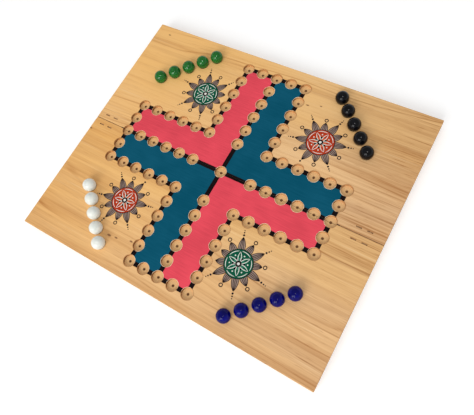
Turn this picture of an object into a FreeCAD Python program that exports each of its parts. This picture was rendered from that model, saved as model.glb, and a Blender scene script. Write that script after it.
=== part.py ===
import FreeCAD, Part
import os
import re

import Sketcher

# Folding ludo board: two pine planks meet on a seam along the middle of the playing face and fold
# on a pair of butt hinges nailed under that seam. The face is drilled with flat-bottomed marble
# holes: a cross-shaped track, four home lanes, the middle hole and four diagonal start rows.
# X runs along the seam, Y points to the rear plank, Z is up, and Z zero is the table.

SIZES = (
    ("pitch", 20, "middle of one track hole to the middle of the next"),
    ("left_margin", 51.5, "last track hole to the left end of the board"),
    ("right_margin", 59.5, "last track hole to the right end of the board"),
    ("side_margin", 21.3, "last track hole to the front or rear edge of the board"),
    ("plank_thickness", 12, "planed thickness of both planks"),
    ("seam_gap", 0.3, "open joint between the planks when the board lies flat"),
    ("edge_round", 0.8, "rounding of the outer edges"),
    ("seam_arris", 0.3, "bevel along the top of the seam"),
    ("hole_depth", 3.6, "playing face down to the floor of a marble hole"),
    ("hole_play", 0.45, "room between a seated marble and the rim of its hole"),
    ("pilot_diameter", 2.8, "mark of the drill point in the floor of a hole"),
    ("pilot_depth", 0.9, "straight part of the drill point's mark"),
    ("marble_diameter", 16, "glass marble"),
    ("marble_gap", 3.3, "space between neighbouring marbles in a start row"),
    ("marble_seat_gap", 0.15, "air under a seated marble"),
    ("hinge_length", 25, "length of a butt hinge along its pin"),
    ("left_hinge_inset", 17, "left end of the board to the middle of its hinge"),
    ("right_hinge_inset", 22, "right end of the board to the middle of its hinge"),
    ("leaf_width", 11, "middle of the pin to the far edge of a leaf"),
    ("leaf_thickness", 0.8, "hinge sheet"),
    ("pin_diameter", 1.6, "hinge pin"),
    ("pin_clearance", 0.05, "running clearance round the pin"),
    ("pin_head_diameter", 2.6, "peened end of the pin"),
    ("pin_head_height", 0.5, "height of a peened end"),
    ("knuckle_gap", 0.2, "space between neighbouring knuckles, and round them in the other leaf"),
    ("barrel_relief", 0.3, "room between the knuckles and the planks"),
    ("mortise_play", 0.2, "room round a leaf in its mortise"),
    ("nail_diameter", 1.4, "hinge nail"),
    ("nail_clearance", 0.05, "room round a nail in its hole"),
    ("nail_head_diameter", 2.8, "countersunk nail head"),
    ("nail_head_height", 0.6, "depth of the countersunk head"),
    ("nail_spacing", 12.5, "between the two nails of a leaf"),
    ("nail_line", 7.2, "middle of the pin to the nails of a leaf"),
    ("nail_bend_radius", 1, "middle line of the bend where a nail is clinched over"),
    ("clinch_length", 3.2, "straight part of the clinched end"),
    ("clinch_sink", 0.15, "playing face down to the top of a clinched end"),
    ("clinch_room", 0.2, "room under and beyond a clinched end in its groove"),
    ("nail_tip_length", 1.2, "point of a nail"),
    ("nail_tip_diameter", 0.4, "blunt end of the point"),
    ("cut_overrun", 1, "how far a cutting shape reaches past what it cuts"),
)

# Holes are counted in steps of one pitch from the middle of the track.
ARM_STEPS = 7
LANE_STEPS = 2

START_ROW = range(-2, 3)

KNUCKLES = 5
REAR = 1
FRONT = -1
LEFT = -1
RIGHT = 1

# Each hinge: its name, its middle along the seam, and the way its nails are clinched over.
HINGES = (("left", "left_hinge_middle", RIGHT), ("right", "right_hinge_middle", LEFT))

# Each set of marbles: its colour, the corner where it starts, and how many pitches the middle pocket
# of its row lies from the middle of the track, along and across the board. They were marked out by eye.
MARBLES = (
    ("green", LEFT, REAR, (5.68, 5.53)),
    ("black", RIGHT, REAR, (5.68, 5.78)),
    ("white", LEFT, FRONT, (5.55, 5.64)),
    ("blue", RIGHT, FRONT, (5.76, 5.7)),
)

# Sizes that follow from the driving ones.
WORKED_OUT = {
    "board_length": f"{2 * ARM_STEPS} * pitch + left_margin + right_margin",
    "plank_width": f"{ARM_STEPS} * pitch + side_margin - seam_gap / 2",
    "track_middle": "(left_margin - right_margin) / 2",
    "knuckle_radius": "pin_diameter / 2 + pin_clearance + leaf_thickness",
    "knuckle_step": f"hinge_length / {KNUCKLES}",
    "knuckle_reach": "knuckle_radius + knuckle_gap",
    "underside": "2 * knuckle_radius - leaf_thickness",
    "playing_face": "underside + plank_thickness",
    "left_hinge_middle": "left_hinge_inset - board_length / 2",
    "right_hinge_middle": "board_length / 2 - right_hinge_inset",
    "mortise_half": "hinge_length / 2 + knuckle_gap + pin_head_height + mortise_play",
    "nail_hole_radius": "nail_diameter / 2 + nail_clearance",
    "clinch_height": "plank_thickness - clinch_sink - nail_diameter / 2",
    "clinch_reach": "nail_bend_radius + clinch_length + nail_tip_length",
    "marble_radius": "marble_diameter / 2",
    "seat_height": "marble_radius + marble_seat_gap - hole_depth",
    "hole_radius": "sqrt(marble_radius * marble_radius - seat_height * seat_height) + hole_play",
    "start_step": "(marble_diameter + marble_gap) / sqrt(2)",
}

doc = FreeCAD.newDocument("LudoBoard")
sheet = doc.addObject("Spreadsheet::Sheet", "Sizes")
for row, (size, value, meaning) in enumerate(SIZES, start=1):
    sheet.set(f"A{row}", meaning)
    sheet.set(f"B{row}", str(value))
    sheet.setAlias(f"B{row}", size)
doc.recompute()

DRIVING = {size for size, value, meaning in SIZES}
nodes = []


def spell(words):
    """Write a sum of size names as an expression on the cells of the sheet."""

    def cell(found):
        word = found.group()
        if word in WORKED_OUT:
            return f"({spell(WORKED_OUT[word])})"
        return f"Sizes.{word}" if word in DRIVING else word

    return re.sub(r"[a-z_]+", cell, words)


def number(words):
    """Value of a sum of size names, in millimetres."""
    return float(sheet.evalExpression(spell(words)))


def bind(thing, **sums):
    """Tie properties of an object to sums of size names."""
    for field, words in sums.items():
        thing.setExpression(field, spell(words))


def place(thing, x="0", y="0", z="0"):
    """Tie an object's position to sums of size names."""
    for axis, words in zip("xyz", (x, y, z)):
        thing.setExpression(f"Placement.Base.{axis}", spell(words))


# Planks: bodies built from sketches, in a frame whose Z zero is the plank's underside.


def start_sketch(body, name, x="0", z="0"):
    """Sketch on the body's own ground plane, moved along the board or lifted to a height."""
    sketch = body.newObject("Sketcher::SketchObject", name)
    ground = next(plane for plane in body.Origin.OriginFeatures if plane.Role == "XY_Plane")
    sketch.AttachmentSupport = [(ground, "")]
    sketch.MapMode = "FlatFace"
    sketch.setExpression("AttachmentOffset.Base.x", spell(x))
    sketch.setExpression("AttachmentOffset.Base.z", spell(z))
    return sketch


def measure(sketch, kind, words, *points):
    """Add one dimension to a sketch and tie it to a sum of size names."""
    index = sketch.addConstraint(Sketcher.Constraint(kind, *points, number(words)))
    label = f"{kind.lower()}_{index}"
    sketch.renameConstraint(index, label)
    sketch.setExpression(f"Constraints.{label}", spell(words))


def draw_rectangle(sketch, low_x, low_y, length, width):
    """Rectangle given by its low corner and its two sides."""
    x, y = number(low_x), number(low_y)
    end_x, end_y = x + number(length), y + number(width)
    corners = [FreeCAD.Vector(*corner, 0) for corner in ((x, y), (end_x, y), (end_x, end_y), (x, end_y))]
    first = sketch.GeometryCount
    sides = [first + step for step in range(len(corners))]
    following = sides[1:] + sides[:1]
    sketch.addGeometry([Part.LineSegment(*ends) for ends in zip(corners, corners[1:] + corners[:1])], False)
    rules = [Sketcher.Constraint("Coincident", side, 2, after, 1) for side, after in zip(sides, following)]
    rules += [Sketcher.Constraint("Horizontal", side) for side in sides[::2]]
    rules += [Sketcher.Constraint("Vertical", side) for side in sides[1::2]]
    sketch.addConstraint(rules)
    measure(sketch, "DistanceX", low_x, -1, 1, first, 1)
    measure(sketch, "DistanceY", low_y, -1, 1, first, 1)
    measure(sketch, "DistanceX", length, first, 1, first, 2)
    measure(sketch, "DistanceY", width, sides[1], 1, sides[1], 2)


def draw_circles(sketch, centres, radius):
    """Circles of one radius; each centre is a pair of sums."""
    for x, y in centres:
        middle = FreeCAD.Vector(number(x), number(y), 0)
        circle = sketch.addGeometry(Part.Circle(middle, FreeCAD.Vector(0, 0, 1), number(radius)), False)
        measure(sketch, "DistanceX", x, -1, 1, circle, 3)
        measure(sketch, "DistanceY", y, -1, 1, circle, 3)
        measure(sketch, "Radius", radius, circle)


def cut_pocket(body, sketch, name, depth=None, upward=False):
    """Cut a sketch into the body to a depth, or right through."""
    pocket = body.newObject("PartDesign::Pocket", name)
    pocket.Profile = sketch
    pocket.Reversed = upward
    if depth:
        bind(pocket, Length=depth)
    else:
        pocket.Type = "ThroughAll"
    return pocket


def track_places():
    """Grid places of the track, home lanes and middle hole, in steps from the middle."""
    places = {(0, 0)}
    for along in range(LANE_STEPS, ARM_STEPS + 1):
        across_steps = range(-LANE_STEPS, LANE_STEPS + 1)
        if along < ARM_STEPS:
            across_steps = (-LANE_STEPS, 0, LANE_STEPS)
        for across in across_steps:
            for end in (along, -along):
                places |= {(end, across), (across, end)}
    return sorted(places)


def start_place(end, side, middle_shares, index):
    """Middle of one start pocket from the middle of the track, as a pair of sums."""
    along, across = middle_shares
    x = f"{end} * ({along} * pitch - {index} * start_step)"
    y = f"{side} * ({across} * pitch + {index} * start_step)"
    return x, y


def nail_places(middle, side):
    """The two nails of a leaf, as pairs of sums."""
    return [(f"{middle} + {end} * nail_spacing / 2", f"{side} * nail_line") for end in (LEFT, RIGHT)]


def side_low(side, near, far):
    """Lower Y of a strip that lies between two distances from the seam, on one side of it."""
    return near if side == REAR else f"-({far})"


def make_plank(name, side):
    """Plank with eased edges, drilled holes, hinge mortises, and nail holes with clinch grooves."""
    body = doc.addObject("PartDesign::Body", name)
    place(body, z="underside")
    outline = start_sketch(body, f"{name}_outline")
    low_y = side_low(side, "seam_gap / 2", "seam_gap / 2 + plank_width")
    draw_rectangle(outline, "-board_length / 2", low_y, "board_length", "plank_width")
    blank = body.newObject("PartDesign::Pad", f"{name}_blank")
    blank.Profile = outline
    bind(blank, Length="plank_thickness")
    doc.recompute()

    seam_face = number(f"{side} * seam_gap / 2")
    top = number("plank_thickness")
    near = Part.Precision.confusion()

    def seam_edge(edge):
        return all(abs(point.Y - seam_face) < near for point in edge.Vertexes)

    def seam_top(edge):
        return seam_edge(edge) and all(abs(point.Z - top) < near for point in edge.Vertexes)

    def edge_names(shape, wanted):
        return [f"Edge{count}" for count, edge in enumerate(shape.Edges, start=1) if wanted(edge)]

    eased = body.newObject("PartDesign::Fillet", f"{name}_eased")
    eased.Base = (blank, edge_names(blank.Shape, lambda edge: not seam_edge(edge)))
    bind(eased, Radius="edge_round")
    doc.recompute()
    bevelled = body.newObject("PartDesign::Chamfer", f"{name}_bevelled")
    bevelled.Base = (eased, edge_names(eased.Shape, seam_top))
    bind(bevelled, Size="seam_arris")
    doc.recompute()

    mortises = start_sketch(body, f"{name}_mortise_outlines")
    reliefs = start_sketch(body, f"{name}_relief_outlines")
    nail_holes = start_sketch(body, f"{name}_nail_hole_outlines")
    grooves = start_sketch(body, f"{name}_groove_outlines", z="plank_thickness")
    for _, middle, clinch in HINGES:
        low_x = f"{middle} - mortise_half"
        low_y = side_low(side, "0", "leaf_width + mortise_play")
        draw_rectangle(mortises, low_x, low_y, "2 * mortise_half", "leaf_width + mortise_play")
        low_y = side_low(side, "0", "knuckle_radius + barrel_relief")
        draw_rectangle(reliefs, low_x, low_y, "2 * mortise_half", "knuckle_radius + barrel_relief")
        draw_circles(nail_holes, nail_places(middle, side), "nail_hole_radius")
        for x, y in nail_places(middle, side):
            back = "nail_hole_radius" if clinch == RIGHT else "clinch_reach + clinch_room"
            low = (f"{x} - ({back})", f"{y} - nail_hole_radius")
            length = "nail_hole_radius + clinch_reach + clinch_room"
            draw_rectangle(grooves, *low, length, "2 * nail_hole_radius")
    cuts = [
        cut_pocket(body, mortises, f"{name}_mortises", "leaf_thickness", upward=True),
        cut_pocket(body, reliefs, f"{name}_reliefs", "leaf_thickness + barrel_relief", upward=True),
        cut_pocket(body, nail_holes, f"{name}_nail_holes", upward=True),
        cut_pocket(body, grooves, f"{name}_grooves", "clinch_sink + nail_diameter + clinch_room"),
    ]

    track = [(f"{x} * pitch", f"{y} * pitch") for x, y in track_places() if y * side >= 0]
    rows = [(end, middle_shares) for _, end, row_side, middle_shares in MARBLES if row_side == side]
    starts = [start_place(end, side, shares, index) for end, shares in rows for index in START_ROW]
    drilling = start_sketch(body, f"{name}_drilling", x="track_middle", z="plank_thickness")
    draw_circles(drilling, track + starts, "hole_radius")
    doc.recompute()
    holes = body.newObject("PartDesign::Hole", f"{name}_holes")
    holes.Profile = drilling
    holes.HoleCutType = "Counterbore"
    holes.HoleCutCustomValues = True
    bind(holes, HoleCutDiameter="2 * hole_radius", HoleCutDepth="hole_depth")
    bind(holes, Diameter="pilot_diameter", Depth="hole_depth + pilot_depth")
    doc.recompute()
    for cut in cuts + [holes]:
        if cut.Shape.Volume >= cut.BaseFeature.Shape.Volume:
            raise RuntimeError(f"{cut.Label} cuts nothing")
    nodes.append(body)


# Hinges: in a frame whose origin is the middle of the pin.

ALONG_X = FreeCAD.Rotation(FreeCAD.Vector(0, 1, 0), 90)
AGAINST_X = FreeCAD.Rotation(FreeCAD.Vector(0, 1, 0), -90)


def block(name, low, length, width, height):
    """Box given by its low corner and its three sides."""
    shape = doc.addObject("Part::Box", name)
    place(shape, *low)
    bind(shape, Length=length, Width=width, Height=height)
    return shape


def rod(name, start, radius, length, turn=FreeCAD.Rotation()):
    """Cylinder from a starting point, upright unless it is turned."""
    shape = doc.addObject("Part::Cylinder", name)
    shape.Placement.Rotation = turn
    place(shape, *start)
    bind(shape, Radius=radius, Height=length)
    return shape


def taper(name, start, first_radius, last_radius, length, turn=FreeCAD.Rotation()):
    """Cone from a starting point, upright unless it is turned."""
    shape = doc.addObject("Part::Cone", name)
    shape.Placement.Rotation = turn
    place(shape, *start)
    bind(shape, Radius1=first_radius, Radius2=last_radius, Height=length)
    return shape


def join(name, shapes):
    """One solid from several that touch or overlap."""
    whole = doc.addObject("Part::MultiFuse", name)
    whole.Shapes = shapes
    whole.Refine = True
    return whole


def make_leaf(name, middle, side, knuckles):
    """Hinge leaf: a plate whose tabs are rolled round the pin into knuckles, countersunk for two nails."""
    plate_low = side_low(side, "knuckle_reach", "leaf_width")
    tab_low = side_low(side, "0", "knuckle_reach")
    sheet_low = "knuckle_radius - leaf_thickness"
    plate_sides = ("hinge_length", "leaf_width - knuckle_reach", "leaf_thickness")
    pieces = [block(f"{name}_plate", ("-hinge_length / 2", plate_low, sheet_low), *plate_sides)]
    for index in knuckles:
        start = f"{index} * knuckle_step - hinge_length / 2 + knuckle_gap / 2"
        length = "knuckle_step - knuckle_gap"
        tab_sides = (length, "knuckle_reach", "leaf_thickness")
        pieces.append(rod(f"{name}_knuckle_{index}", (start,), "knuckle_radius", length, ALONG_X))
        pieces.append(block(f"{name}_tab_{index}", (start, tab_low, sheet_low), *tab_sides))
    solid = join(f"{name}_solid", pieces)
    bore_start = ("-hinge_length / 2 - cut_overrun",)
    bore_length = "hinge_length + 2 * cut_overrun"
    tools = [rod(f"{name}_bore", bore_start, "pin_diameter / 2 + pin_clearance", bore_length, ALONG_X)]
    for index, (x, y) in enumerate(nail_places("0", side), start=1):
        through = ("nail_hole_radius", "leaf_thickness + 2 * cut_overrun")
        sink = ("nail_head_diameter / 2 + nail_clearance", "nail_hole_radius", "nail_head_height")
        tools.append(rod(f"{name}_nail_hole_{index}", (x, y, f"{sheet_low} - cut_overrun"), *through))
        tools.append(taper(f"{name}_countersink_{index}", (x, y, sheet_low), *sink))
    leaf = doc.addObject("Part::Cut", name)
    leaf.Base = solid
    leaf.Tool = join(f"{name}_openings", tools)
    leaf.Refine = True
    place(leaf, x=middle, z="knuckle_radius")
    nodes.append(leaf)


def make_pin(name, middle):
    """Hinge pin: a wire through all the knuckles with both ends peened over."""
    half = "hinge_length / 2 + knuckle_gap"
    head = ("pin_head_diameter / 2", "pin_diameter / 2", "pin_head_height")
    shaft = rod(f"{name}_shaft", (f"-({half})",), "pin_diameter / 2", f"2 * ({half})", ALONG_X)
    right_end = taper(f"{name}_right_end", (half,), *head, ALONG_X)
    left_end = taper(f"{name}_left_end", (f"-({half})",), *head, AGAINST_X)
    pin = join(name, [shaft, right_end, left_end])
    place(pin, x=middle, z="knuckle_radius")
    nodes.append(pin)


def make_nail(name, x, y, clinch):
    """Nail driven up through leaf and plank, bent over along the grain and sunk flush with the face."""
    radius = "nail_diameter / 2"
    level = "clinch_height"
    lying = ALONG_X if clinch == RIGHT else AGAINST_X
    run_start = (f"{clinch} * nail_bend_radius", "0", level)
    tip_start = (f"{clinch} * (nail_bend_radius + clinch_length)", "0", level)
    head = taper(f"{name}_head", (), "nail_head_diameter / 2", radius, "nail_head_height")
    shank_length = f"{level} - nail_bend_radius - nail_head_height"
    shank = rod(f"{name}_shank", ("0", "0", "nail_head_height"), radius, shank_length)
    # A quarter ring, stood on edge so that it starts on the shank and ends on the clinched run.
    ring_start = FreeCAD.Vector(-clinch, 0, 0)
    ring_end = FreeCAD.Vector(0, 0, 1)
    bend = doc.addObject("Part::Torus", f"{name}_bend")
    bend.Angle3 = 90
    bend.Placement.Rotation = FreeCAD.Rotation(ring_start, ring_end, FreeCAD.Vector(), "XYZ")
    bind(bend, Radius1="nail_bend_radius", Radius2=radius)
    place(bend, x=f"{clinch} * nail_bend_radius", z=f"{level} - nail_bend_radius")
    run = rod(f"{name}_run", run_start, radius, "clinch_length", lying)
    tip = taper(f"{name}_tip", tip_start, radius, "nail_tip_diameter / 2", "nail_tip_length", lying)
    nail = join(name, [head, shank, bend, run, tip])
    place(nail, x=x, y=y, z="underside")
    return nail


def make_nails(name, middle, side, clinch):
    """The two nails of one leaf, as one node of two solids."""
    spots = enumerate(nail_places(middle, side), start=1)
    pair = doc.addObject("Part::Compound", name)
    pair.Links = [make_nail(f"{name}_{index}", x, y, clinch) for index, (x, y) in spots]
    nodes.append(pair)


def make_marble(name, start):
    """Glass marble seated in its start pocket."""
    marble = doc.addObject("Part::Sphere", name)
    bind(marble, Radius="marble_radius")
    x, y = start
    place(marble, x=f"track_middle + {x}", y=y, z="playing_face + seat_height")
    nodes.append(marble)


make_plank("rear_plank", REAR)
make_plank("front_plank", FRONT)
for hinge, middle, clinch in HINGES:
    make_leaf(f"{hinge}_hinge_rear_leaf", middle, REAR, range(0, KNUCKLES, 2))
    make_leaf(f"{hinge}_hinge_front_leaf", middle, FRONT, range(1, KNUCKLES, 2))
    make_pin(f"{hinge}_hinge_pin", middle)
    make_nails(f"{hinge}_rear_nails", middle, REAR, clinch)
    make_nails(f"{hinge}_front_nails", middle, FRONT, clinch)
for colour, *row in MARBLES:
    for count, index in enumerate(START_ROW, start=1):
        make_marble(f"{colour}_marble_{count}", start_place(*row, index))

doc.recompute()
for thing in doc.Objects:
    if {"Invalid", "Error"} & set(thing.State):
        raise RuntimeError(f"{thing.Label} failed: {thing.State}")
for node in nodes:
    if node.Shape.isNull() or not node.Shape.isValid() or not node.Shape.Solids:
        raise RuntimeError(f"{node.Label} has no sound solid")

os.makedirs("parts", exist_ok=True)
for node in nodes:
    node.Shape.exportStep(f"parts/{node.Label}.step")
print(f"{len(nodes)} nodes, playing face at {number('playing_face'):.2f} mm")
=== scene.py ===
import math

import bmesh
import bpy
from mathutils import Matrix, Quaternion, Vector, noise


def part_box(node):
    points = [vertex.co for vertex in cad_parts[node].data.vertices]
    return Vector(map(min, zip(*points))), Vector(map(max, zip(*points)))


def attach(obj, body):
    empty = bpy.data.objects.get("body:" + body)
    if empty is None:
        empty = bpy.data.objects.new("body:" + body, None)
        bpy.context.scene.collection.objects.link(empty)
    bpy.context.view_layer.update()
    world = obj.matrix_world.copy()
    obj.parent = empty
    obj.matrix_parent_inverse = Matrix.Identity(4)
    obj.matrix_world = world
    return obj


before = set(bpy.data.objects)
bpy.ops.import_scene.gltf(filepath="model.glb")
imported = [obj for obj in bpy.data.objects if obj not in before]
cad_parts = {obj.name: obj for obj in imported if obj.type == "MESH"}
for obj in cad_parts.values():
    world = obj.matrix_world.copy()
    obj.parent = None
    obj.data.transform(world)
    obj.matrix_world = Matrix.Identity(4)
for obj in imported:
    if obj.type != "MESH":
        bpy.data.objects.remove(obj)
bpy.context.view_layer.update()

# Planks
# Two planed pine boards are butted on a seam along the middle of the playing face. Both are sawn flat,
# with the heart of the tree below them and the grain along the seam, drilled, and thinly varnished.

MILLIMETRE = 0.001
TRACK_MIDDLE = -4 * MILLIMETRE
PITCH = 20 * MILLIMETRE
ARM_STEPS = 7
LANE_STEPS = 2
HOLE_RADIUS = 7.03 * MILLIMETRE
PLANK_LOW, PLANK_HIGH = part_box("rear_plank")
FACE = PLANK_HIGH.z


class Shade:
    """A value in a node tree, or the bare tree. Arithmetic on a value adds Math nodes."""

    def __init__(self, tree, socket=None):
        self.tree = tree
        self.socket = socket

    def node(self, kind, settings, sockets, output=0):
        """Add any node: its settings first, then the values or links of its sockets."""
        made = self.tree.nodes.new(kind)
        for name, setting in settings.items():
            setattr(made, name, setting)
        for name, value in sockets.items():
            if isinstance(value, Shade):
                self.tree.links.new(value.socket, made.inputs[name])
            else:
                made.inputs[name].default_value = value
        return Shade(self.tree, made.outputs[output])

    def math(self, operation, *values):
        """Add a Math node on values in order."""
        return self.node("ShaderNodeMath", {"operation": operation}, dict(enumerate(values)))

    def __add__(self, other):
        return self.math("ADD", self, other)

    __radd__ = __add__

    def __sub__(self, other):
        return self.math("SUBTRACT", self, other)

    def __rsub__(self, other):
        return self.math("SUBTRACT", other, self)

    def __mul__(self, other):
        return self.math("MULTIPLY", self, other)

    __rmul__ = __mul__

    def __truediv__(self, other):
        return self.math("DIVIDE", self, other)

    def __rtruediv__(self, other):
        return self.math("DIVIDE", other, self)

    def __abs__(self):
        return self.math("ABSOLUTE", self)

    def length(self, other):
        """Length of the diagonal of two values at right angles."""
        return self.math("SQRT", self * self + other * other)

    def step(self, start, end):
        """Smooth step from 0 at start to 1 at end."""
        sockets = {"Value": self, "From Min": start, "From Max": end}
        return self.node("ShaderNodeMapRange", {"interpolation_type": "SMOOTHSTEP"}, sockets)

    def blend(self, low, high):
        """Colour that goes from low to high as this value goes from 0 to 1."""
        return self.node("ShaderNodeMix", {"data_type": "RGBA"}, {0: self, 6: low, 7: high}, output=2)

    def axes(self):
        """The three parts of a vector."""
        return [self.node("ShaderNodeSeparateXYZ", {}, {0: self}, output=axis) for axis in range(3)]

    def mottle(self, lumps, seed, detail=2.0):
        """Smooth noise from 0 to 1 with so many lumps to the metre along each axis."""
        spread = self.node("ShaderNodeVectorMath", {"operation": "MULTIPLY"}, {0: self, 1: lumps})
        sockets = {"Vector": spread, "W": seed, "Scale": 1.0, "Detail": detail}
        return self.node("ShaderNodeTexNoise", {"noise_dimensions": "4D"}, sockets)


def screen(red, green, blue):
    """Linear colour from eight-bit values on the usual curve of a screen."""

    def linear(value):
        share = value / 255
        return share / 12.92 if share < 0.04 else ((share + 0.055) / 1.055) ** 2.4

    return linear(red), linear(green), linear(blue), 1


def start_finish(name, shine=0.5):
    """New material: itself, its shader, and the place on the piece and the way it faces as values."""
    material = bpy.data.materials.new(name)
    material.use_nodes = True
    bare = Shade(material.node_tree)
    place, facing = (bare.node("ShaderNodeTexCoord", {}, {}, output) for output in ("Object", "Normal"))
    shader = material.node_tree.nodes["Principled BSDF"]
    shader.inputs["Specular IOR Level"].default_value = shine
    return material, shader, place, facing


def feed(shader, relief, relief_depth, **values):
    """Link values to a shader's sockets, and a relief from 0 to 1 to its normal."""
    for name, value in values.items():
        value.tree.links.new(value.socket, shader.inputs[name.replace("_", " ")])
    bump = relief.node("ShaderNodeBump", {}, {"Height": relief, "Distance": relief_depth})
    relief.tree.links.new(bump.socket, shader.inputs["Normal"])


def dress(material, *nodes):
    """Give carried-over pieces their material."""
    for node in nodes:
        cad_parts[node].data.materials.clear()
        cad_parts[node].data.materials.append(material)


EARLY_WARM, LATE_WARM = screen(246, 191, 114), screen(198, 132, 64)
EARLY_TAN, LATE_TAN = screen(232, 189, 132), screen(172, 120, 68)
EARLY_ROSY, LATE_ROSY = screen(232, 192, 147), screen(174, 126, 82)
FRESH_WOOD = screen(248, 216, 168)
TORN_WOOD = screen(246, 228, 196)
END_WOOD = screen(182, 128, 76)
# The two colours of the hole walls are partly their own and partly painted shade in the holes.
WALL_BROWN_AND_SHADE = screen(192, 138, 86)
END_WALL_BROWN_AND_SHADE = screen(138, 90, 50)
HOLE_FLOOR = screen(232, 188, 130)
# Painted shade of the pilot pit and the floor round it.
PIT_SHADE = screen(116, 70, 32)
RIM_BROWN = screen(168, 116, 70)
KNOT_BROWN = screen(112, 66, 36)
# Painted shade of the seam gap.
HANDLED = screen(178, 130, 84)
SEAM_SHADE = screen(138, 92, 54)
SEAM_ENAMEL = screen(20, 8, 9)
ROUGH_DEPTH = 0.1 * MILLIMETRE
RING_DRIFT = 3.6
KNOT_STRETCH = 2.2

# These are plain millimetres. Each pair in brackets is where a change starts and where it is full.
THICKNESS = (PLANK_HIGH.z - PLANK_LOW.z) / MILLIMETRE
SEAM_ARRIS = 0.3
RING_WIDTH = 3.6
HEART_WANDER, HEART_SWAY = 34, 26
RINGS_SHOW = (10, 46)
# Between these places the wood is painted warmer and brighter towards its left end, as painted light.
PAINTED_LIGHT_LEFT = (170, -170)
LEFT_END, RIGHT_END = (-70, -190), (70, 195)
ROSY_WANDER = 40
HOLES_IN = (1.4, 1.8)
HOLE_DEPTH = 3.6
PIT_BOTTOM = (6.5, 6)
PIT_SHADE_RADIUS = (2.4, 1.1)
RAGGED_RIM = 0.9
TORN_RIM, CUT_RIM = (0.8, 0.3), (0.8, 0.2)
SEAM_SHADE_OUT, SEAM_SHADE_DOWN = (0.6, 0.15), (4, 1)
RUN_OUT, RUN_DOWN = (0.35, 0.2), (2.2, 1.2)
RUBBED_IN = (1.4, 0.2)


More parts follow.
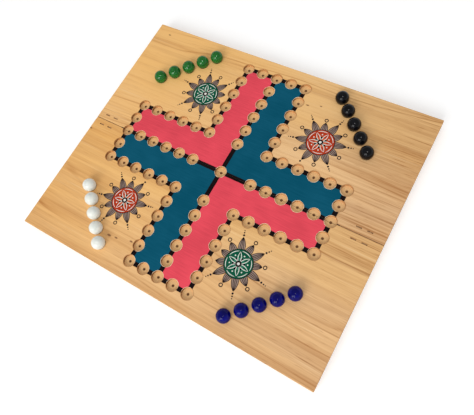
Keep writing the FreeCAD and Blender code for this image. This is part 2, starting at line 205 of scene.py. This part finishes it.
def pine(name, heart, lean, rosy, tone_and_shade, knots, seed):
    """Flat-sawn pine. The heart is where the tree's middle passes, across and below, in millimetres.

    Between the two rosy places across it, the wood of its right end turns from tan to rosy. The
    tone and shade is how far the wood is darkened at its left end, middle and right end: partly the
    plank's own tone and partly painted shade where the light falls off across the board.
    """
    material, shader, place, facing = start_finish(name, shine=0.3)
    x, y, z = (part / MILLIMETRE for part in place.axes())
    facing_x, _, facing_z = facing.axes()
    depth = FACE / MILLIMETRE - z
    from_end = PLANK_HIGH.x / MILLIMETRE - abs(x)
    from_side = PLANK_HIGH.y / MILLIMETRE - abs(y)

    # Growth rings round the heart, which wanders and leans along the plank. Few of them are strong,
    # and right over the heart, where the saw ran along them, they fade.
    wander = place.mottle((3.2, 9, 9), seed, detail=1)
    sway = place.mottle((6, 14, 14), seed + 1, detail=1)
    across = y - heart[0] - lean * x + HEART_WANDER * (wander - 0.5)
    below = z - heart[1] + HEART_SWAY * (sway - 0.5)
    rings = across.length(below) / RING_WIDTH + RING_DRIFT * place.mottle((2, 30, 30), seed + 2)
    within = place.math("FRACT", rings)
    count = place.math("FLOOR", rings)
    strength = place.node("ShaderNodeTexWhiteNoise", {"noise_dimensions": "1D"}, {"W": count + seed})
    lasting = place.mottle((5, 44, 44), seed + 9, detail=1).step(0.3, 0.62)
    line = within.step(0.45, 0.86) * (1 - within.step(0.87, 1.0))
    late = line * (0.08 + strength * strength * lasting) * abs(across).step(*RINGS_SHOW)

    # Fibres, veins, resin flecks and slow changes of tone along the plank, some of them painted light and
    # shade.
    fibre = place.mottle((14, 950, 950), seed + 3, detail=3)
    vein = place.mottle((7, 260, 260), seed + 4, detail=3)
    fleck = place.mottle((55, 760, 760), seed + 5, detail=1).step(0.6, 0.72)
    band = place.mottle((1.6, 46, 46), seed + 6, detail=1).step(0.5, 0.75)
    broad = place.mottle((4, 90, 90), seed + 12, detail=3)
    bright = place.mottle((9, 340, 340), seed + 7).step(0.58, 0.78)
    # Painted light: besides a random warmth, the wood is painted warmer and brighter towards its left end.
    warmth_and_painted_light = 0.9 * place.mottle((5, 26, 26), seed + 8) + 0.55 * x.step(*PAINTED_LIGHT_LEFT) - 0.22
    leftward, rightward = x.step(*LEFT_END), x.step(*RIGHT_END)
    # Painted shade: the wood is darkened towards its ends by the given amounts, on top of its own tone.
    left_darkening, middle_darkening, right_darkening = tone_and_shade
    darker_left = (left_darkening - middle_darkening) * leftward
    darker_right = (right_darkening - middle_darkening) * rightward
    end_darkening = middle_darkening + darker_left + darker_right
    end = abs(facing_x).step(0.55, 0.95)
    resin = place.mottle((8, 480, 480), seed + 13).step(0.58, 0.68) * (0.1 + 0.4 * rightward)
    streaks = 0.6 * (fibre - 0.5) + 0.8 * (vein - 0.5) + 0.7 * (broad - 0.5) + 0.36 * band
    along_grain = (0.2 + 0.2 * rightward) * fleck + resin + (1 + 0.3 * rightward) * streaks
    dark = 0.8 * late + end_darkening + (1 - 0.85 * end) * along_grain
    rosiness = (y + ROSY_WANDER * (wander - 0.5)).step(*rosy)
    early_wood = warmth_and_painted_light.blend(rosiness.blend(EARLY_TAN, EARLY_ROSY), EARLY_WARM)
    late_wood = warmth_and_painted_light.blend(rosiness.blend(LATE_TAN, LATE_ROSY), LATE_WARM)
    planed = (0.35 * bright).blend(dark.blend(early_wood, late_wood), FRESH_WOOD)

    # The drilled holes of the cross, by the distance from the nearest one.
    pitch = PITCH / MILLIMETRE
    step_x = (x - TRACK_MIDDLE / MILLIMETRE) / pitch
    step_y = y / pitch
    off_x, off_y = (pitch * (part - part.math("ROUND", part)) for part in (step_x, step_y))
    from_hole = off_x.length(off_y)
    lane = LANE_STEPS + 0.5
    arms = place.math("MAXIMUM", abs(step_x).step(lane + 0.02, lane), abs(step_y).step(lane + 0.02, lane))
    reach = place.math("MAXIMUM", abs(step_x), abs(step_y)).step(ARM_STEPS + 0.52, ARM_STEPS + 0.5)
    cross = arms * reach

    # End grain is darker. The hole walls are browner than the face and darker still where they are end
    # grain, partly their own colour and partly painted shade in the holes. The floors show pale new wood,
    # and the pilot pit and the floor round its mouth are painted dark brown as painted shade.
    inner = from_end.step(*HOLES_IN) * from_side.step(*HOLES_IN)
    # The walls are coloured browner, partly as painted shade inside the holes.
    wall = inner * abs(facing_z).step(0.7, 0.3)
    floor = inner * facing_z.step(0.5, 0.9) * depth.step(0.5, 1.5)
    # Painted shade: the pilot pit and the floor round its mouth are coloured dark brown.
    pit = inner * depth.step(HOLE_DEPTH + 0.02, HOLE_DEPTH + 0.3) * depth.step(*PIT_BOTTOM)
    pit_shade_ring = cross * floor * from_hole.step(*PIT_SHADE_RADIUS)
    ended = (end * (0.25 + 0.3 * late + 0.4 * line)).blend(planed, END_WOOD)
    walled = (wall * (0.6 + 0.5 * fibre)).blend(ended, end.blend(WALL_BROWN_AND_SHADE, END_WALL_BROWN_AND_SHADE))
    floored = (floor * (0.5 + 0.6 * fibre)).blend(walled, HOLE_FLOOR)
    pitted = place.math("MAXIMUM", 0.95 * pit, 0.65 * pit_shade_ring).blend(floored, PIT_SHADE)

    # Round those holes the drill has torn the paint off in a ragged ring and shows pale wood. On bare
    # wood the ring is only a brown line.
    rim = HOLE_RADIUS / MILLIMETRE
    past_rim = from_hole + RAGGED_RIM * (place.mottle((240, 240, 240), seed + 10) - 0.5) - rim
    top = cross * depth.step(0.2, 0.1)
    lanes = [abs(part).step(LANE_STEPS + 0.03, LANE_STEPS - 0.03) for part in (step_x, step_y)]
    ends = [abs(part).step(ARM_STEPS + 0.03, ARM_STEPS - 0.03) for part in (step_x, step_y)]
    painted = place.math("MAXIMUM", lanes[0] * ends[1], lanes[1] * ends[0])
    torn = top * painted * past_rim.step(*TORN_RIM)
    cut = top * (1 - painted) * past_rim.step(*CUT_RIM)
    rimmed = (0.8 * torn).blend((0.75 * cut).blend(pitted, RIM_BROWN), TORN_WOOD)

    # Pin knots, each drawn out along the grain.
    surface = rimmed
    for knot_x, knot_y, radius in knots:
        off = ((x - knot_x) / KNOT_STRETCH).length(y - knot_y)
        surface = (0.85 * off.step(radius, 0.3 * radius)).blend(surface, KNOT_BROWN)

    # The seam's edges and walls are painted darker as painted shade of the gap, enamel has run into it
    # along the home lanes, and the outer arrises are dulled by hands.
    past_arris = abs(y) - SEAM_ARRIS
    # Painted shade along the edges of the seam and down its walls.
    seam_shade_mask = past_arris.step(*SEAM_SHADE_OUT) * depth.step(*SEAM_SHADE_DOWN)
    run = past_arris.step(*RUN_OUT) * depth.step(*RUN_DOWN) * reach
    enamelled = run.blend((0.6 * seam_shade_mask).blend(surface, SEAM_SHADE), SEAM_ENAMEL)
    near_end, near_side = from_end.step(*RUBBED_IN), from_side.step(*RUBBED_IN)
    near_face = place.math("MAXIMUM", depth.step(*RUBBED_IN), (THICKNESS - depth).step(*RUBBED_IN))
    corner = near_end * near_side
    arris = place.math("MAXIMUM", corner, place.math("MAXIMUM", near_end, near_side) * near_face)
    rubbed = arris * place.mottle((120, 120, 120), seed + 11).step(0.35, 0.65)
    handled = (0.5 * rubbed).blend(enamelled, HANDLED)

    relief = 0.5 * fibre + 0.35 * (1 - late) + 0.15 * (1 - fleck)
    feed(shader, relief, ROUGH_DEPTH, Base_Color=handled, Roughness=0.5 + 0.16 * fibre + 0.12 * end)
    return material


rear_pine = pine(
    "rear_pine",
    heart=(96, -42),
    lean=0.05,
    rosy=(110, 40),
    tone_and_shade=(0.0, 0.04, 0.4),
    knots=((48.2, 120.6, 1.3), (63.6, 125.2, 1.0), (-174.4, 148.8, 1.2)),
    seed=3.0,
)
front_pine = pine(
    "front_pine",
    heart=(-58, -70),
    lean=-0.04,
    rosy=(-40, -110),
    tone_and_shade=(0.31, 0.18, 0.28),
    knots=((-83.8, -126.2, 1.8), (-74.1, -125.0, 1.4), (-54.7, -120.4, 1.5), (-193.5, -17.8, 1.3)),
    seed=17.0,
)
dress(rear_pine, "rear_plank")
dress(front_pine, "front_plank")

# Hinges
# Two butt hinges join the planks under the seam. Each leaf is a strip of plated steel with its tabs
# rolled round a drawn steel pin, and each is let into the wood and nailed.

RUST, DARK_RUST = screen(188, 148, 106), screen(146, 104, 68)
RUST_DEPTHS = (6, 3)
SCRATCH_DEPTH = 0.03 * MILLIMETRE


def dull_steel(name, bare, stained, lumps, roughness, clean, seed):
    """Steel with drawn or rolled scratches, metallic where clean and less so where it is stained.

    Between the two rust depths under the playing face, in millimetres, it turns brown.
    """
    material, shader, place, _ = start_finish(name)
    scratch = place.mottle(lumps, seed, detail=3)
    stain = place.mottle((260, 260, 260), seed + 1, detail=3).step(0.5, 0.72)
    depth = (FACE - place.axes()[2]) / MILLIMETRE
    dull = stain.blend(scratch.blend(stained, bare), stained)
    brown = stain.blend(scratch.blend(DARK_RUST, RUST), DARK_RUST)
    colour = depth.step(*RUST_DEPTHS).blend(dull, brown)
    worn = roughness + 0.25 * stain + 0.12 * scratch
    metal = clean - 0.5 * clean * stain
    feed(shader, scratch, SCRATCH_DEPTH, Base_Color=colour, Roughness=worn, Metallic=metal)
    return material


plated = dull_steel(
    "plated_steel",
    bare=screen(176, 170, 158),
    stained=screen(120, 104, 86),
    lumps=(60, 2600, 2600),
    roughness=0.3,
    clean=1.0,
    seed=31.0,
)
drawn = dull_steel(
    "drawn_steel",
    bare=screen(150, 148, 144),
    stained=screen(96, 88, 80),
    lumps=(90, 3000, 3000),
    roughness=0.26,
    clean=1.0,
    seed=37.0,
)
for side in ("left", "right"):
    dress(plated, f"{side}_hinge_rear_leaf", f"{side}_hinge_front_leaf")
    dress(drawn, f"{side}_hinge_pin")

# Nails
# Two soft steel nails hold each leaf. They are driven up through the plank and their points are bent
# over and hammered flush with the playing face, where they have gone brown.

nail_steel = dull_steel(
    "nail_steel",
    bare=screen(158, 152, 144),
    stained=screen(112, 98, 84),
    lumps=(900, 900, 900),
    roughness=0.5,
    clean=0.3,
    seed=41.0,
)
for side in ("left", "right"):
    dress(nail_steel, f"{side}_rear_nails", f"{side}_front_nails")

# Painted fields
# Each quarter of the cross is one L-shaped field of matt paint, laid on with a flat brush before the
# holes were drilled. Drilling has torn a thin ring of paint away round each hole.

TORN_RING = 0.32 * MILLIMETRE
PAINT_ROOT = 0.04 * MILLIMETRE
FIELD_HEIGHT = 0.05 * MILLIMETRE
BRUSH_DEPTH = 0.05 * MILLIMETRE
ARM, LANE = ARM_STEPS * PITCH, LANE_STEPS * PITCH
SEAM_EDGE = PLANK_LOW.y + SEAM_ARRIS * MILLIMETRE
REAR, FRONT = 1, -1
LEFT, RIGHT = -1, 1
HALVES = {REAR: "rear", FRONT: "front"}


def film(name, outlines, low, high):
    """Closed flat films between two heights, from outlines given as points in order."""
    form = bmesh.new()
    for outline in outlines:
        bottom, top = ([form.verts.new((x, y, level)) for x, y in outline] for level in (low, high))
        form.faces.new(top)
        form.faces.new(bottom[::-1])
        for start, end in zip(range(-1, len(top) - 1), range(len(top))):
            form.faces.new((bottom[start], bottom[end], top[end], top[start]))
    bmesh.ops.recalc_face_normals(form, faces=form.faces)
    mesh = bpy.data.meshes.new(name)
    form.to_mesh(mesh)
    form.free()
    piece = bpy.data.objects.new(name, mesh)
    bpy.context.collection.objects.link(piece)
    return piece


def circle(middle, radius, points=64, uneven=0.0):
    """Outline of a circle, a little uneven where it is done by hand."""
    outline = []
    for index in range(points):
        angle = math.tau * index / points
        away = Vector((math.cos(angle), math.sin(angle), 0))
        reach = radius + uneven * noise.noise(2 * away + Vector((*middle, 0)) / PITCH)
        outline.append((middle[0] + reach * away.x, middle[1] + reach * away.y))
    return outline


def track_places():
    """Middles of the drilled track holes, home lanes and middle hole."""
    places = {(0, 0)}
    for along in range(LANE_STEPS, ARM_STEPS + 1):
        steps = range(-LANE_STEPS, LANE_STEPS + 1) if along == ARM_STEPS else (-LANE_STEPS, 0, LANE_STEPS)
        for across in steps:
            for end in (along, -along):
                places |= {(end, across), (across, end)}
    return [(TRACK_MIDDLE + x * PITCH, y * PITCH) for x, y in sorted(places)]


def paint(name, outlines, height, side, material, drilled=False):
    """Lay paint on one half of the playing face. Where it was drilled, cut the torn rings out of it."""
    piece = film(name, outlines, FACE - PAINT_ROOT, FACE + height)
    piece.data.materials.append(material)
    if drilled:
        rings = [circle(place, HOLE_RADIUS + TORN_RING, 72, TORN_RING) for place in track_places()]
        drill = film("drill", rings, FACE - 2 * PAINT_ROOT, FACE + 2 * height)
        cut = piece.modifiers.new("drilled", "BOOLEAN")
        cut.operation = "DIFFERENCE"
        cut.solver = "EXACT"
        cut.object = drill
        graph = bpy.context.evaluated_depsgraph_get()
        piece.data = bpy.data.meshes.new_from_object(piece.evaluated_get(graph))
        piece.modifiers.clear()
        bpy.data.objects.remove(drill)
    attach(piece, f"{HALVES[side]}_half")


def brushed_paint(name, colour, seed, roughness=0.5):
    """Paint with the faint streaks of a flat brush, over the raised grain of the wood."""
    material, shader, place, _ = start_finish(name, shine=0.04)
    streak = place.mottle((40, 900, 900), seed, detail=3)
    cloud = place.mottle((30, 30, 30), seed + 1)
    grain = place.mottle((14, 950, 950), seed + 2, detail=3)
    deep = tuple(0.86 * part for part in colour[:3]) + (1,)
    full = tuple(min(1, 1.1 * part + 0.004) for part in colour[:3]) + (1,)
    tint = (0.5 * streak + 0.5 * cloud).step(0.3, 0.7).blend(deep, full)
    relief = 0.6 * grain + 0.4 * streak
    feed(shader, relief, BRUSH_DEPTH, Base_Color=tint, Roughness=roughness + 0.2 * (streak - 0.5))
    return material


PINK = brushed_paint("pink_paint", screen(230, 76, 91), seed=51.0)
TEAL = brushed_paint("teal_paint", screen(2, 82, 106), seed=57.0)
FIELDS = (
    ("pink", PINK, LEFT, REAR),
    ("teal", TEAL, RIGHT, REAR),
    ("teal", TEAL, LEFT, FRONT),
    ("pink", PINK, RIGHT, FRONT),
)
for colour, tint, end, side in FIELDS:
    corners = ((0, SEAM_EDGE), (ARM, SEAM_EDGE), (ARM, LANE), (LANE, LANE), (LANE, ARM), (0, ARM))
    outline = [(TRACK_MIDDLE + end * x, side * y) for x, y in corners]
    name = f"{HALVES[side]}_{colour}_field"
    paint(name, [outline], FIELD_HEIGHT, side, tint, drilled=True)

# Track lines
# Black enamel lines run from hole to hole round the cross and along both home lanes. They were ruled
# with a brush over the edges of the fields, so half of each outer line lies on bare wood.

LINE_HALF = 2.75 * MILLIMETRE
LINE_HEIGHT = 0.09 * MILLIMETRE
LINE_WOBBLE = 0.16 * MILLIMETRE
LINE_POINT = 2 * MILLIMETRE
WOBBLE_LENGTH = 6 * MILLIMETRE
EDGES_APART = 7
INSIDE_HOLE = 4 * MILLIMETRE
ENAMEL = brushed_paint("black_enamel", screen(20, 8, 9), seed=63.0, roughness=0.4)


def ruled_line(start, end, near_half=LINE_HALF):
    """Outline of a brushed line between two points, whose half towards the seam can be cut short."""
    start, end = Vector((*start, 0)), Vector((*end, 0))
    along = (end - start).normalized()
    left = Vector((-along.y, along.x, 0))
    points = max(2, round((end - start).length / LINE_POINT))
    edges = ([], [])
    for index in range(points + 1):
        middle = start.lerp(end, index / points)
        for edge, sign, half in zip(edges, (-1, 1), (near_half, LINE_HALF)):
            wobble = LINE_WOBBLE * noise.noise(middle / WOBBLE_LENGTH + sign * left * EDGES_APART)
            point = middle + sign * left * (half + wobble * (half > 0))
            edge.append((point.x, point.y))
    return edges[0] + edges[1][::-1]


for side in (REAR, FRONT):
    outer = (LANE + INSIDE_HOLE, ARM - INSIDE_HOLE)
    inner = (INSIDE_HOLE, ARM - INSIDE_HOLE)
    rank = (INSIDE_HOLE, LANE - INSIDE_HOLE)
    lines = []
    for end in (LEFT, RIGHT):
        lines.append(ruled_line(*((end * x, side * LANE) for x in outer)))
        lines.append(ruled_line(*((end * LANE, side * y) for y in outer)))
        lines.append(ruled_line(*((end * ARM, side * y) for y in rank)))
        lines.append(ruled_line(*((end * x, side * ARM) for x in rank)))
        seam_line = [(end * x, 0) for x in inner]
        if end * side < 0:
            seam_line.reverse()
        lines.append(ruled_line(*seam_line, near_half=-SEAM_EDGE))
    lines.append(ruled_line(*((0, side * y) for y in inner)))
    outlines = [[(TRACK_MIDDLE + x, y) for x, y in line] for line in lines]
    paint(f"{HALVES[side]}_track_lines", outlines, LINE_HEIGHT, side, ENAMEL, drilled=True)

# Rosettes
# Each corner has a painted rosette: a coloured disc with a compass-drawn flower in white, inside a ring
# of grey rays with fine brown hatching, dots and small rings. They are brushed on by hand.

DISC_RADIUS = 16 * MILLIMETRE
ROSETTE_GREEN = (3.68, 4.30)
ROSETTE_RED = (4.39, 4.08)
RAYS = 12
RAY_HALF = 4.6 * MILLIMETRE
RAY_TIPS = (30 * MILLIMETRE, 26 * MILLIMETRE)
RAY_LINES = (1, 0.45, 0, -0.45, -1)
HATCH_HALF = 0.36 * MILLIMETRE
RING_RADIUS = 1.9 * MILLIMETRE
PETALS = 6
PETAL_LENGTH = 13.4 * MILLIMETRE
FLOWER_HALF = 0.4 * MILLIMETRE
CLEAR_OF_HOLE = 1.2 * MILLIMETRE
DISC_UNEVEN = 0.12 * MILLIMETRE
DISC_RADII = (DISC_RADIUS, 0.22 * DISC_RADIUS, 0.1 * DISC_RADIUS)
BEAD_REACH, RIM_REACH = 0.76 * PETAL_LENGTH, 1.07 * PETAL_LENGTH

# The turn and the gap are in radians. A ring or dot lies so many ring radii beyond the tip of its ray,
# and the second number of a dot is its size, in ring radii too.
ROSETTE_TURN, RIM_GAP = 0.2, 0.12
RING_STEP = 1.7
DOTS = ((1.2, 0.62), (2.8, 0.46), (4.1, 0.33))


def polar(middle, radius, angle):
    """Point at a distance and an angle from a middle."""
    return Vector((middle[0] + radius * math.cos(angle), middle[1] + radius * math.sin(angle)))


def arc(middle, radius, start, end, points=18):
    """Points along an arc."""
    return [polar(middle, radius, start + (end - start) * index / points) for index in range(points + 1)]


def brush_stroke(points, half_width, pointed=False):
    """Outline of a stroke along points, narrowing to its ends where it is pointed."""
    edges = ([], [])
    last = len(points) - 1
    for index, point in enumerate(points):
        along = (points[min(index + 1, last)] - points[max(index - 1, 0)]).normalized()
        left = Vector((-along.y, along.x))
        swell = math.sin(math.pi * (0.06 + 0.88 * index / last)) ** 0.6 if pointed else 1
        for edge, sign in zip(edges, (-1, 1)):
            edge.append(tuple(point + sign * swell * half_width * left))
    return edges[0] + edges[1][::-1]


def drawn_ring(middle, radius, half_width):
    """Two half rings, which together close a circle drawn as a line."""
    halves = ((0, math.pi), (math.pi, math.tau))
    return [brush_stroke(arc(middle, radius, *ends, 40), half_width) for ends in halves]


def ray_edge(middle, angle, tip, share, points=12):
    """Line along a pointed ray from the disc to its tip, a share of the way from its middle to its side."""
    line = []
    root = DISC_RADIUS - CLEAR_OF_HOLE / 2
    for index in range(points + 1):
        along = index / points
        width = RAY_HALF * share * (1 - along**1.7) * (0.82 + 0.5 * along)
        aside = polar((0, 0), width, angle + math.pi / 2)
        line.append(polar(middle, root + (tip - root) * along, angle) + aside)
    return line


def off_the_holes(spot, radius):
    """Whether a mark of that radius stays clear of every hole of the track."""
    room = HOLE_RADIUS + CLEAR_OF_HOLE + radius
    return all((spot - Vector(place)).length > room for place in track_places())


def rosette(middle, turn):
    """Outlines of a rosette, by layer of paint."""
    wash, hatch, tints, flower = [], drawn_ring(middle, DISC_RADIUS, 2 * HATCH_HALF), [], []
    for index in range(RAYS):
        angle = turn + math.tau * index / RAYS
        long_ray = index % 2 == 0
        tip = RAY_TIPS[0] if long_ray else RAY_TIPS[1]
        while not off_the_holes(polar(middle, tip, angle), 0):
            tip -= CLEAR_OF_HOLE
        sides = [ray_edge(middle, angle, tip, share) for share in (-1, 1)]
        wash.append([tuple(point) for point in sides[0] + sides[1][-2::-1]])
        hatch += [brush_stroke(ray_edge(middle, angle, tip, share), HATCH_HALF) for share in RAY_LINES]
        if long_ray:
            for out, size in DOTS:
                spot = polar(middle, tip + out * RING_RADIUS, angle)
                if off_the_holes(spot, size * RING_RADIUS):
                    hatch.append(circle(spot, size * RING_RADIUS, 24))
        else:
            spot = polar(middle, tip + RING_STEP * RING_RADIUS, angle)
            if off_the_holes(spot, RING_RADIUS):
                hatch += drawn_ring(spot, RING_RADIUS, 1.4 * HATCH_HALF)
    for index in range(PETALS):
        angle = turn + math.tau * index / PETALS
        sides = []
        for bend in (-1, 1):
            centre = polar(middle, PETAL_LENGTH, angle + bend * math.pi / 3)
            back = angle + bend * (math.pi / 3 + math.pi)
            sides.append(arc(centre, PETAL_LENGTH, back, back - bend * math.pi / 3))
        tints.append([tuple(point) for point in sides[0] + sides[1][-2:0:-1]])
        flower += [brush_stroke(line, FLOWER_HALF, pointed=True) for line in sides]
        between = angle + math.pi / PETALS
        flower.append(circle(polar(middle, BEAD_REACH, between), 2 * FLOWER_HALF, 24))
        rim = arc(middle, RIM_REACH, angle + RIM_GAP, angle + math.tau / PETALS - RIM_GAP)
        flower.append(brush_stroke(rim, FLOWER_HALF, pointed=True))
    disc, eye, pupil = ([circle(middle, radius, 96, DISC_UNEVEN)] for radius in DISC_RADII)
    return wash, hatch, disc, tints, flower, eye, pupil


LAYER_HEIGHTS = [height * MILLIMETRE for height in (0.04, 0.06, 0.08, 0.1, 0.12, 0.14, 0.16)]
WASH = brushed_paint("grey_wash", screen(152, 130, 118), seed=71.0, roughness=0.6)
HATCH = brushed_paint("brown_line", screen(42, 30, 32), seed=73.0, roughness=0.6)
WHITE = brushed_paint("white_line", screen(232, 232, 222), seed=79.0)
GREEN = brushed_paint("green_disc", screen(8, 84, 60), seed=83.0)
LIGHT_GREEN = brushed_paint("light_green", screen(60, 128, 104), seed=85.0)
RED = brushed_paint("red_disc", screen(180, 58, 29), seed=89.0)
LIGHT_RED = brushed_paint("light_red", screen(204, 104, 70), seed=91.0)
PLACES = (
    (LEFT, REAR, ROSETTE_GREEN, "green", (GREEN, LIGHT_GREEN)),
    (RIGHT, REAR, ROSETTE_RED, "red", (RED, LIGHT_RED)),
    (LEFT, FRONT, ROSETTE_RED, "red", (RED, LIGHT_RED)),
    (RIGHT, FRONT, ROSETTE_GREEN, "green", (GREEN, LIGHT_GREEN)),
)
for end, side, reach, colour, (full, light) in PLACES:
    middle = (TRACK_MIDDLE + end * reach[0] * PITCH, side * reach[1] * PITCH)
    layers = (
        ("rays", WASH, "grey_paint"),
        ("hatching", HATCH, "grey_paint"),
        ("disc", full, f"{colour}_paint"),
        ("petals", light, f"{colour}_paint"),
        ("flower", WHITE, "white_paint"),
        ("eye", ENAMEL, "black_paint"),
        ("pupil", WHITE, "white_paint"),
    )
    outlines = rosette(middle, ROSETTE_TURN * end * side)
    for (layer, tint, slot), shapes, height in zip(layers, outlines, LAYER_HEIGHTS):
        paint(f"{HALVES[side]}_{colour}_rosette_{layer}", shapes, height, side, tint)

# Marbles
# Five glass marbles to a player stand in the drilled start pockets: green ones that let light through,
# and black, white and blue ones of nearly solid colour. They are fire-polished and only lie there.

RUB_DEPTH = 0.001 * MILLIMETRE
MILKY_DEPTH = 2.5 * MILLIMETRE
GLASS_INDEX = 1.52


def marble_glass(name, body, twist, shine, seed, clear=0.0, milky=0.0):
    """Polished glass with a faint twist of a second tone and a few rub marks."""
    material, shader, place, _ = start_finish(name, shine)
    tone = place.mottle((150, 150, 420), seed, detail=2).step(0.42, 0.68)
    rub = place.mottle((700, 700, 700), seed + 1, detail=4).step(0.62, 0.8)
    feed(shader, rub, RUB_DEPTH, Base_Color=tone.blend(body, twist), Roughness=0.04 + 0.1 * rub)
    shader.inputs["Transmission Weight"].default_value = clear
    shader.inputs["Subsurface Weight"].default_value = milky
    shader.inputs["Subsurface Radius"].default_value = (1, 1, 1)
    shader.inputs["Subsurface Scale"].default_value = MILKY_DEPTH
    shader.inputs["IOR"].default_value = GLASS_INDEX
    return material


GLASSES = {
    "green": marble_glass(
        "green_glass",
        body=screen(24, 110, 36),
        twist=screen(34, 128, 46),
        shine=0.25,
        seed=101.0,
        clear=0.3,
        milky=0.3,
    ),
    "black": marble_glass(
        "black_glass",
        body=screen(8, 7, 9),
        twist=screen(14, 14, 20),
        shine=0.16,
        seed=103.0,
    ),
    "white": marble_glass(
        "white_glass",
        body=screen(228, 230, 222),
        twist=screen(220, 224, 218),
        shine=0.25,
        seed=107.0,
        milky=0.3,
    ),
    "blue": marble_glass(
        "blue_glass",
        body=screen(3, 3, 86),
        twist=screen(8, 10, 112),
        shine=0.14,
        seed=109.0,
    ),
}
for colour, glass in GLASSES.items():
    dress(glass, *(f"{colour}_marble_{index}" for index in range(1, 6)))

# Studio
# The board lies on a plain white table in a room with a white horizon and a dim ceiling. A window of
# two panes in front and a ceiling lamp light it, and it is seen from above its near right corner.

CEILING_LIGHT = 0.48
HORIZON_BAND = (0.5, 0.05)
LAMPS = (
    ("left_pane", Vector((-0.12, -0.87, 0.48)), 3.0, (0.8, 1.5), 24.5),
    ("right_pane", Vector((0.2, -0.81, 0.55)), 3.0, (0.8, 1.5), 24.5),
    ("ceiling_lamp", Vector((0.25, -0.15, 0.95)), 2.4, (0.5, 0.5), 10.0),
)
TABLE_HALF, TABLE_THICKNESS = 6.0, 0.02
NEAR_GLOW, FAR_GLOW = 0.25, 0.5
GLOW_FROM, GLOW_TO = 0.5, 3.0
EYE = Vector((0.2029, -0.1473, 0.4816))
AIM = Vector((0.0359, -0.0304, FACE))
ROLL = math.radians(-27.18)
PHOTO_WIDTH, PHOTO_FOCUS, FILM_WIDTH = 474, 452.5, 36
NEAREST_SEEN = 0.01


def shown_to_eye(tree):
    """One where a surface is seen straight, in a reflection or through glass, and zero for other light."""
    outputs = ("Is Camera Ray", "Is Glossy Ray", "Is Transmission Ray")
    straight, mirrored, through = (Shade(tree).node("ShaderNodeLightPath", {}, {}, ray) for ray in outputs)
    return straight.math("MINIMUM", straight + mirrored + through, 1.0)


world = bpy.data.worlds.new("room")
bpy.context.scene.world = world
world.use_nodes = True
room = world.node_tree
height = Shade(room).node("ShaderNodeTexCoord", {}, {}, "Generated").axes()[2]
light = CEILING_LIGHT + (1 - CEILING_LIGHT) * height.step(*HORIZON_BAND)
room.links.new(light.socket, room.nodes["Background"].inputs["Color"])
room.nodes["Background"].inputs["Strength"].default_value = 1

corners = [(x * TABLE_HALF, y * TABLE_HALF) for x, y in ((-1, -1), (1, -1), (1, 1), (-1, 1))]
table = film("table", [corners], -TABLE_THICKNESS, 0)
white_table, table_shader, place, _ = start_finish("white_table", shine=0.1)
away_x, away_y, _ = place.axes()
far = away_x.length(away_y).step(GLOW_FROM, GLOW_TO)
glow = (NEAR_GLOW + FAR_GLOW * far) * shown_to_eye(white_table.node_tree)
white_table.node_tree.links.new(glow.socket, table_shader.inputs["Emission Color"])
table_shader.inputs["Emission Strength"].default_value = 1
table_shader.inputs["Base Color"].default_value = screen(240, 240, 240)
table_shader.inputs["Roughness"].default_value = 0.9
table.data.materials.append(white_table)

for name, way, distance, size, watts in LAMPS:
    lamp = bpy.data.lights.new(name, "AREA")
    lamp.energy = watts
    lamp.shape = "RECTANGLE"
    lamp.size, lamp.size_y = size
    lamp_stand = bpy.data.objects.new(name, lamp)
    lamp_stand.location = way.normalized() * distance
    lamp_stand.rotation_euler = (-way).to_track_quat("-Z", "Y").to_euler()
    bpy.context.collection.objects.link(lamp_stand)

camera = bpy.data.cameras.new("camera")
camera.sensor_width = FILM_WIDTH
camera.lens = PHOTO_FOCUS / PHOTO_WIDTH * FILM_WIDTH
camera.clip_start = NEAREST_SEEN
camera_stand = bpy.data.objects.new("camera", camera)
camera_stand.location = EYE
camera_stand.rotation_mode = "QUATERNION"
camera_stand.rotation_quaternion = (AIM - EYE).to_track_quat("-Z", "Y") @ Quaternion((0, 0, 1), ROLL)
bpy.context.collection.objects.link(camera_stand)
bpy.context.scene.camera = camera_stand
bpy.context.scene.view_settings.view_transform = "Standard"
